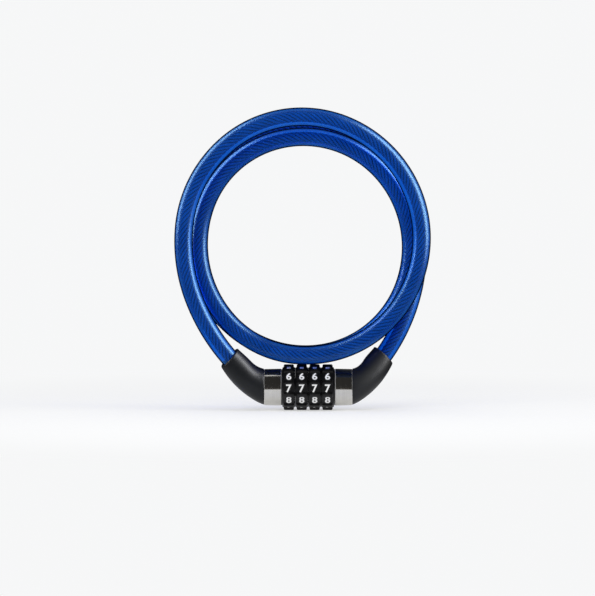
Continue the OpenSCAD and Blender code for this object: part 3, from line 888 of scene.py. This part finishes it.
def wheel_digits(number):
    parts = []
    for k in range(10):
        shape, faces = GLYPHS[(FRONT_DIGIT - k) % 10]
        a = math.radians(DIGIT_STEP * k)
        up = np.array([0, math.sin(a), math.cos(a)])
        out = np.array([0, -math.cos(a), math.sin(a)])
        across, height = shape[:, 0] * DIGIT_HEIGHT, shape[:, 1] * DIGIT_HEIGHT
        relief = np.where(shape[:, 2] > 0, DIGIT_RELIEF, -DIGIT_RELIEF)
        points = (np.array([wheel_x(number), 0, 0])
                  + across[:, None] * np.array([1.0, 0, 0])
                  + height[:, None] * up + (FLAT_RADIUS + relief)[:, None] * out)
        parts.append((world(points), faces))
    obj = mesh_object(f"wheel_{number}_digits", *join(parts), (DIGIT,))
    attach(obj, f"wheel_{number}")


for number in WHEEL_NUMBERS:
    wheel_digits(number)

# ------------------------------------------------------------------ stage, metres
STUDIO_WHITE = (0.925, 0.93, 0.935)
FLOOR_HALF = 4.0
FLOOR_DROP = 0.00002


def floor_material():
    """A lit floor near the lock that fades to plain white. Reflections see it only close to
    the lock, with a dark studio beyond."""
    m = new_material("stage_white")
    length = m.node("VectorMath", {"operation": "LENGTH"})
    m.feed(length.inputs[0], m.node("NewGeometry").outputs["Position"])
    distance = length.outputs["Value"]
    far = m.spread(distance, low=0.0, high=1.0, span=(0.10, 0.36), ease=True)
    lit = m.node("AddShader")
    m.feed(lit.inputs[0], m.node("BsdfDiffuse", Color=(0.62, 0.62, 0.622)))
    m.feed(lit.inputs[1], m.node("Emission", Color=(1, 1, 1), Strength=0.43))
    floor_shader = m.mix(far, lit, m.node("Emission", Color=STUDIO_WHITE, Strength=1.0))
    beyond = m.spread(distance, low=0.0, high=1.0, span=(0.068, 0.078), ease=True)
    hidden = m.math("MULTIPLY", m.reflection_only(m.node("LightPath")), beyond)
    dark = m.node("Emission", Color=(0.05, 0.045, 0.04))
    return m.done(m.mix(hidden, floor_shader, dark))


def studio_world():
    """camera and transmission rays see white, other glossy rays see a dark studio, and the
    rest get soft ambient light"""
    world_data = bpy.data.worlds.new("studio")
    scene.world = world_data
    m = Shader(world_data, "OutputWorld")
    light_path = m.node("LightPath")
    white = m.node("Background", Color=STUDIO_WHITE, Strength=1.0)
    ambient = m.node("Background", Color=(0.95, 0.97, 1.0), Strength=0.45)
    dark = m.node("Background", Color=(0.035, 0.034, 0.033))
    unseen = m.mix(light_path.outputs["Is Glossy Ray"], ambient, dark)
    seen = m.math("MAXIMUM", light_path.outputs["Is Camera Ray"],
                  light_path.outputs["Is Transmission Ray"])
    m.done(m.mix(seen, unseen, white))


floor_corners = [(x * FLOOR_HALF, y * FLOOR_HALF, 0)
                 for x, y in ((-1, -1), (1, -1), (1, 1), (-1, 1))]
floor = mesh_object("stage_floor", floor_corners, [(0, 1, 2, 3)], (floor_material(),))
floor.location.z = -FLOOR_DROP
studio_world()

# ------------------------------------------------------------------ lights, metres and watts
LIGHT_TARGET = Vector((0, 0, 0.08))

# the long side reflections fall on the cable and the boots; the turned collars would smear them
streaked = bpy.data.collections.new("streaked_pieces")
for obj in list(bpy.data.objects):
    if obj.name.startswith("cable_jacket_") or obj.name.endswith("_boot_shell"):
        streaked.objects.link(obj)


def around(azimuth, elevation, distance):
    """a place around the lock: azimuth 0 is the front (-Y), 90 is +X"""
    az, el = math.radians(azimuth), math.radians(elevation)
    return LIGHT_TARGET + Vector((math.sin(az) * math.cos(el), -math.cos(az) * math.cos(el),
                                  math.sin(el))) * distance


def aim(obj, target):
    obj.rotation_euler = (target - obj.location).to_track_quat("-Z", "Y").to_euler()


def lamp(name, place, size, power, diffuse=True, glossy=False, only=None):
    """an area lamp out of the camera's sight; it acts on the named kinds of reflection and,
    when only is given, on that collection alone"""
    light = bpy.data.lights.new(name, "AREA")
    light.shape = "RECTANGLE"
    light.size, light.size_y = size
    light.energy = power
    obj = bpy.data.objects.new(name, light)
    root.objects.link(obj)
    obj.location = place
    aim(obj, LIGHT_TARGET)
    if only is not None:
        obj.light_linking.receiver_collection = only
    obj.visible_camera = False
    obj.visible_diffuse = diffuse
    obj.visible_glossy = glossy
    obj.visible_transmission = False


lamp("top_soft", Vector((0.0, -0.10, 0.9)), size=(1.2, 1.0), power=1.3)
lamp("front_soft", around(-25, 25, 0.9), size=(0.6, 0.5), power=3.0)
lamp("side_right", around(72, 24, 0.90), size=(0.46, 1.20), power=40,
     diffuse=False, glossy=True, only=streaked)
lamp("fill_right", around(70, 30, 0.80), size=(0.5, 0.5), power=1.4)
lamp("side_left", around(-86, 33, 0.90), size=(0.44, 1.08), power=19,
     diffuse=False, glossy=True, only=streaked)
lamp("overhead_card", around(0, 86, 0.70), size=(0.5, 0.22), power=0.30, glossy=True)

# ------------------------------------------------------------------ camera
CAMERA_TARGET = Vector((lock_x - 5.8, 0, axis_z + 48.4)) * MM
CAMERA_ELEVATION = math.radians(2.5)
CAMERA_DISTANCE = 2.5
VIEW_WIDTH = 0.323             # width of the view at the target
SENSOR_WIDTH = 36              # mm

camera = bpy.data.cameras.new("camera")
camera_object = bpy.data.objects.new("camera", camera)
root.objects.link(camera_object)
scene.camera = camera_object
camera_object.location = CAMERA_TARGET + CAMERA_DISTANCE * Vector(
    (0, -math.cos(CAMERA_ELEVATION), math.sin(CAMERA_ELEVATION)))
aim(camera_object, CAMERA_TARGET)
camera.sensor_width = SENSOR_WIDTH
camera.lens = SENSOR_WIDTH * CAMERA_DISTANCE / VIEW_WIDTH
camera.clip_end = 50

# ------------------------------------------------------------------ render settings
scene.view_settings.view_transform = "Standard"
scene.view_settings.look = "None"
cycles = scene.cycles
cycles.use_denoising = True
cycles.max_bounces = 16
cycles.transmission_bounces = 12
cycles.transparent_max_bounces = 24
cycles.glossy_bounces = 6
cycles.caustics_refractive = True
cycles.caustics_reflective = True

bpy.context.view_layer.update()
